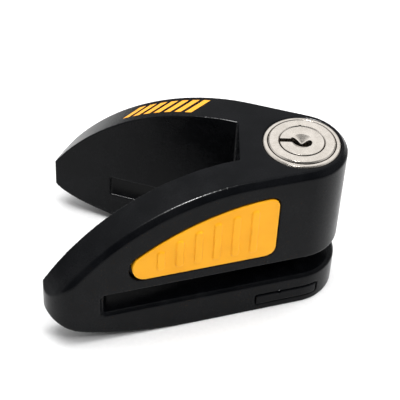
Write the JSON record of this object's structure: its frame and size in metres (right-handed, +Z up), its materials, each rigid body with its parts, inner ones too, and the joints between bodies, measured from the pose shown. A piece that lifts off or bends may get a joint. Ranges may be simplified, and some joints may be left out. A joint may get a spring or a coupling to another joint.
{
  "type": "motorcycle disc brake lock",
  "caption": "V-shaped disc brake lock: a slotted body straddles the brake disc and a push-in key cylinder drives a locking pin across the slot.",
  "frame": {"origin": "middle of the footprint, on the surface that the flat base rests on", "axes": "+X towards the head that holds the key cylinder, -X towards the tips of the two arms, +Z up along the cylinder's axis"},
  "size_m": [0.0874, 0.0694, 0.0521],
  "materials": {
    "black_body": "satin black coating on cast alloy",
    "orange_grip": "satin moulded plastic",
    "black_rubber": "matt rubber",
    "satin_nickel": "satin nickel plate",
    "hardened_steel": "ground hardened steel",
    "spring_steel": "bright spring wire",
    "brass": "turned brass"
  },
  "bodies": {
    "case": {"lock_body": "black_body", "near_grip": "orange_grip", "far_grip": "orange_grip", "bezel_ring": "satin_nickel", "jaw_insert": "black_body", "wiper_seal": "black_rubber", "guide_dowel": "hardened_steel", "insert_pin": "spring_steel", "return_spring": "spring_steel"},
    "cylinder": {"barrel": "satin_nickel", "barrel_base": "hardened_steel", "locking_pin": "hardened_steel", "pin_cover": "brass", "barrel_drill_pin": "hardened_steel", "latch_spring": "spring_steel", "driver_pin_1": "brass", "driver_pin_2": "brass", "driver_pin_3": "brass", "driver_pin_4": "brass", "driver_pin_5": "brass", "pin_spring_1": "spring_steel", "pin_spring_2": "spring_steel", "pin_spring_3": "spring_steel", "pin_spring_4": "spring_steel", "pin_spring_5": "spring_steel"},
    "key_plug": {"plug": "satin_nickel", "plug_drill_pin": "hardened_steel", "plug_cam": "hardened_steel", "cam_clip": "spring_steel", "bottom_pin_1": "brass", "bottom_pin_2": "brass", "bottom_pin_3": "brass", "bottom_pin_4": "brass", "bottom_pin_5": "brass"},
    "latch": {"latch_bolt": "hardened_steel"}
  },
  "joints": [
    {"name": "cylinder_slide", "type": "slide", "parent": "case", "child": "cylinder", "axis": [0, 0, 1], "range_m": [0, 0.0115], "deforming": ["return_spring"]},
    {"name": "plug_turn", "type": "hinge", "parent": "cylinder", "child": "key_plug", "pos_m": [0.0301, 0, 0.045], "axis": [0, 0, -1], "range_deg": [0, 90]},
    {"name": "latch_slide", "type": "slide", "parent": "cylinder", "child": "latch", "axis": [1, 0, 0], "range_m": [0, 0.00425], "deforming": ["latch_spring"]}
  ],
  "couplings": [
    {"joint": "latch_slide", "follows": "plug_turn", "m_per_rad": 0.0027012}
  ]
}
